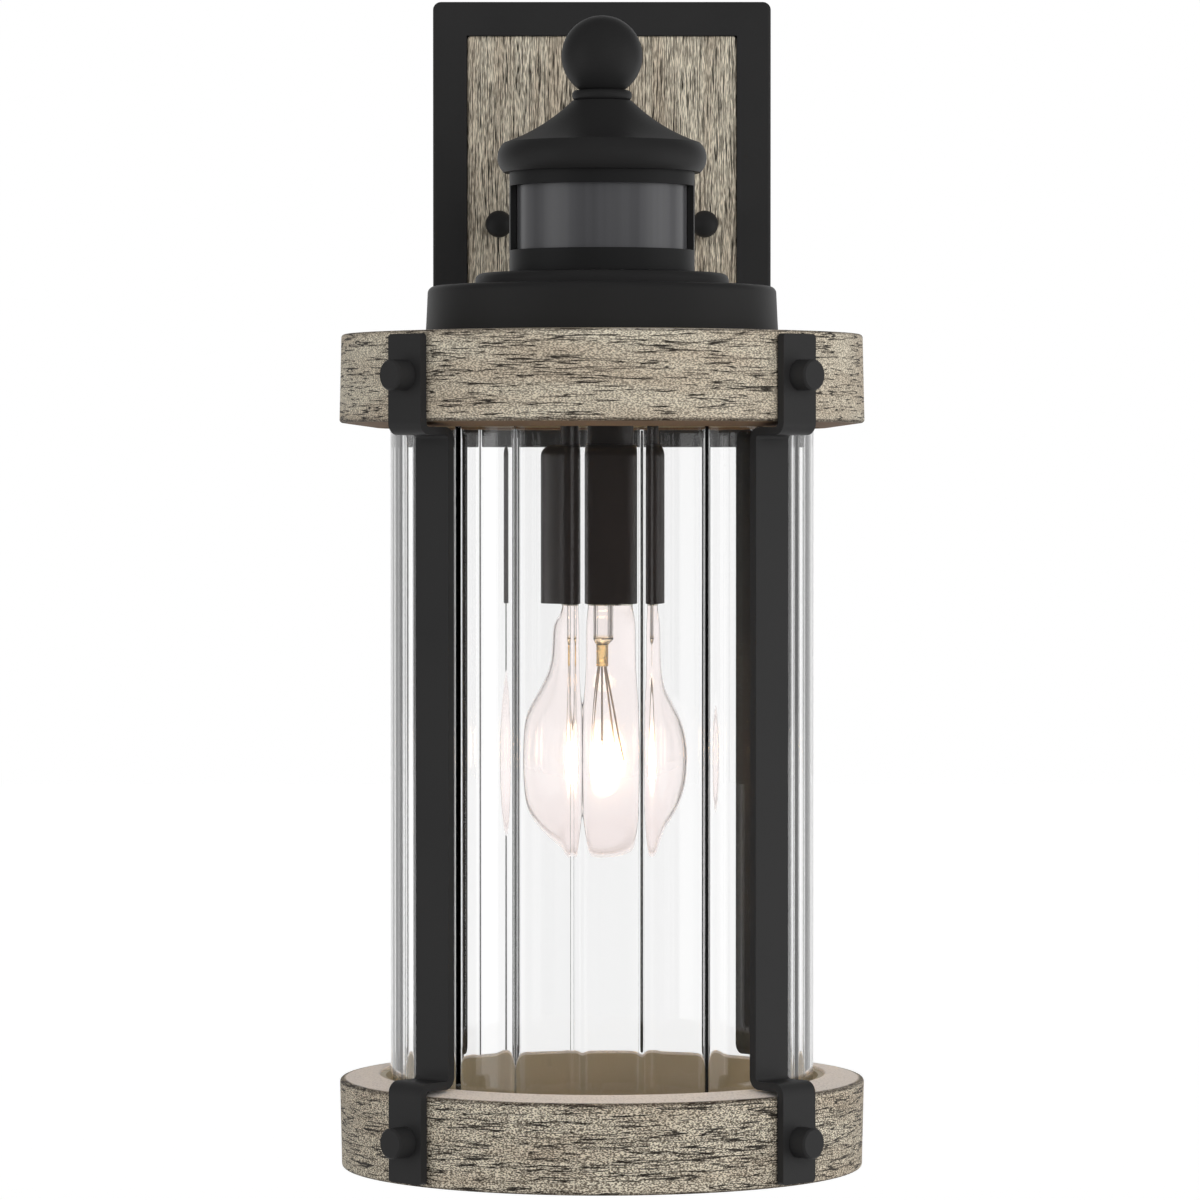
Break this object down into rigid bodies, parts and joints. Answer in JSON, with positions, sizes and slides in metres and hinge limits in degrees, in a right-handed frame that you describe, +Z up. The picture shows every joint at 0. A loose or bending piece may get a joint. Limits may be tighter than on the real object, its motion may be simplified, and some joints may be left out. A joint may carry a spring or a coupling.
{
  "type": "outdoor wall lantern",
  "caption": "Cylinder wall lantern: clear ribbed glass held by black straps between wood-grain rings, with a motion sensor head on the lid and a back plate with a wood-grain panel.",
  "frame": {"origin": "centre of the wall plate, on the wall plane", "axes": "+Z up, +Y into the wall, +X to the right as seen from the front"},
  "size_m": [0.184, 0.228, 0.4175],
  "materials": {
    "black_coat": "fine satin powder coat",
    "wood": "weathered grey-beige grain, matt",
    "tan_paint": "smooth tan paint",
    "steel": "zinc plated",
    "rubber": "closed-cell foam rubber",
    "clear_rubber": "translucent silicone",
    "green_paint": "green plated",
    "white_plastic": "nylon",
    "lead_cover": "PVC covered wire",
    "orange_plastic": "moulded",
    "clear_glass": "clear, ribbed inside",
    "black_plastic": "fine satin",
    "smoke_lens": "smoke grey, satin",
    "board": "lacquered circuit board",
    "can_metal": "plain",
    "cell": "clear coated",
    "relay_case": "moulded",
    "dial_plastic": "moulded",
    "porcelain": "glazed white",
    "brass": "plain",
    "bulb_glass": "clear",
    "cap_metal": "rolled",
    "black_glass": "vitreous insulator",
    "filament": "tungsten"
  },
  "bodies": {
    "lantern": {"wall_gasket": "rubber", "mounting_bracket": "steel", "bracket_studs": "steel", "lock_nuts": "steel", "cap_nuts": "black_coat", "ground_screw": "green_paint", "wall_plate": "black_coat", "plate_panel": "wood", "arm": "black_coat", "arm_screws": "steel", "pan_screws": "steel", "wire_bushing": "white_plastic", "supply_leads": "lead_cover", "wire_connectors": "orange_plastic", "socket_leads": "lead_cover", "sensor_leads": "lead_cover", "top_ring": "wood", "lower_ring": "wood", "top_pan": "black_coat", "lower_cup": "tan_paint", "glass_shade": "clear_glass", "glass_seals": "clear_rubber", "strap_bolts": "black_coat", "strap_front_left": "black_coat", "strap_front_right": "black_coat", "strap_rear_left": "black_coat", "strap_rear_right": "black_coat", "drum": "black_coat", "sensor_base": "black_coat", "base_screws": "steel", "swivel_washer": "white_plastic", "spring_washer": "steel", "threaded_tube": "steel", "tube_nuts": "steel", "socket_neck": "black_coat", "socket_cup": "black_coat", "lampholder": "porcelain", "screw_shell": "brass", "centre_contact": "brass"},
    "bulb": {"bulb_envelope": "bulb_glass", "bulb_cap": "cap_metal", "bulb_insulator": "black_glass", "bulb_contact": "brass", "bulb_stem": "bulb_glass", "bulb_wires": "steel", "bulb_filament": "filament"},
    "sensor_head": {"sensor_body": "black_plastic", "sensor_lens": "smoke_lens", "sensor_board": "board", "pir_sensor": "can_metal", "photocell": "cell", "relay": "relay_case", "dial_pots": "relay_case", "roof_cap": "black_coat", "finial_bead": "black_coat", "finial_ball": "black_coat", "finial_rod": "steel"},
    "time_dial": {"time_dial": "dial_plastic"},
    "light_dial": {"light_dial": "dial_plastic"},
    "range_dial": {"range_dial": "dial_plastic"}
  },
  "joints": [
    {"name": "bulb_draw", "type": "slide", "parent": "lantern", "child": "bulb", "axis": [0, 0, -1], "range_m": [0, 0.25]},
    {"name": "sensor_swivel", "type": "hinge", "parent": "lantern", "child": "sensor_head", "pos_m": [0, -0.136, 0], "axis": [0, 0, 1], "range_deg": [-45, 45]},
    {"name": "time_turn", "type": "hinge", "parent": "sensor_head", "child": "time_dial", "pos_m": [-0.012, -0.1024, -0.00305], "axis": [0, 1, 0], "range_deg": [-135, 135]},
    {"name": "light_turn", "type": "hinge", "parent": "sensor_head", "child": "light_dial", "pos_m": [0, -0.1024, -0.00305], "axis": [0, 1, 0], "range_deg": [-135, 135]},
    {"name": "range_turn", "type": "hinge", "parent": "sensor_head", "child": "range_dial", "pos_m": [0.012, -0.1024, -0.00305], "axis": [0, 1, 0], "range_deg": [-135, 135]}
  ]
}
